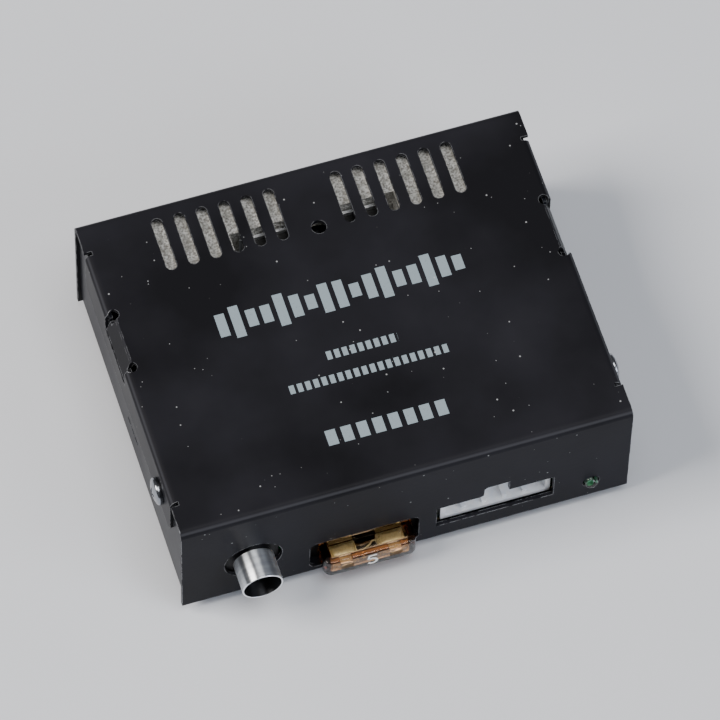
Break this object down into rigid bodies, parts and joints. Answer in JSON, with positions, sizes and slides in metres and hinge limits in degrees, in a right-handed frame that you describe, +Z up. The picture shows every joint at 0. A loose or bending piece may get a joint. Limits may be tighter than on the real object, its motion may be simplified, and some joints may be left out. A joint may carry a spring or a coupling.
{
  "type": "car amplifier",
  "caption": "Compact car amplifier: low black bent-steel case with vent slots, phono jack, pull-out blade fuse, white power and speaker header and power lamp.",
  "frame": {"origin": "middle of the whole object on the surface that its feet stand on", "axes": "+X along the front panel towards the power lamp, +Y from the front panel to the back panel, +Z up"},
  "size_m": [0.0956, 0.0786, 0.032],
  "materials": {
    "cover_paint": "satin black baked paint on steel",
    "chassis_paint": "satin blue-black baked paint on steel",
    "rubber": "matt",
    "zinc_screw": "bright zinc plated",
    "black_screw": "black oxide",
    "spring_steel": "rolled",
    "tinned_wire": "tinned",
    "circuit_board": "green solder mask on glass fibre",
    "fish_paper": "matt fibre sheet",
    "cast_aluminium": "as cast, speckled",
    "can_aluminium": "drawn",
    "silicone_pad": "matt",
    "epoxy": "moulded",
    "black_plastic": "moulded",
    "nickel_plate": "bright nickel plate on brass",
    "brass_contact": "bright",
    "fuse_plastic": "clear amber",
    "fuse_metal": "bright stamped",
    "white_nylon": "natural white nylon",
    "lamp_plastic": "clear green",
    "sleeve_plastic": "shrunk sleeve",
    "iron_powder": "matt coated",
    "ferrite": "sintered",
    "magnet_wire": "enamelled copper",
    "film_coating": "dipped",
    "resistor_coating": "lacquered"
  },
  "bodies": {
    "amplifier": {"top_cover": "cover_paint", "chassis": "chassis_paint", "rubber_feet": "rubber", "side_screws": "zinc_screw", "pcb": "circuit_board", "pcb_screws": "zinc_screw", "insulating_sheet": "fish_paper", "heat_sink": "cast_aluminium", "heat_sink_screws": "zinc_screw", "thermal_pads": "silicone_pad", "power_transistors": "epoxy", "transistor_tabs": "tinned_wire", "transistor_leads": "tinned_wire", "clamp_bar": "spring_steel", "clamp_screw": "black_screw", "jack_housing": "black_plastic", "jack_shell": "nickel_plate", "jack_insulator": "black_plastic", "jack_contact": "brass_contact", "jack_terminals": "tinned_wire", "fuse_holder": "black_plastic", "fuse_contacts": "brass_contact", "header_housing": "white_nylon", "header_pins": "tinned_wire", "lamp_lens": "lamp_plastic", "lamp_leads": "tinned_wire", "capacitor_cans": "can_aluminium", "capacitor_sleeves": "sleeve_plastic", "capacitor_bungs": "rubber", "capacitor_leads": "tinned_wire", "toroid_core": "iron_powder", "toroid_winding": "magnet_wire", "choke_core": "ferrite", "choke_winding": "magnet_wire", "film_capacitors": "film_coating", "driver_ics": "epoxy", "driver_ic_pins": "tinned_wire", "resistors": "resistor_coating", "resistor_leads": "tinned_wire", "rectifier_diode": "epoxy"},
    "fuse": {"fuse_body": "fuse_plastic", "fuse_element": "fuse_metal"}
  },
  "joints": [
    {"name": "fuse_pull", "type": "slide", "parent": "amplifier", "child": "fuse", "axis": [0, -1, 0], "range_m": [0, 0.016]}
  ]
}
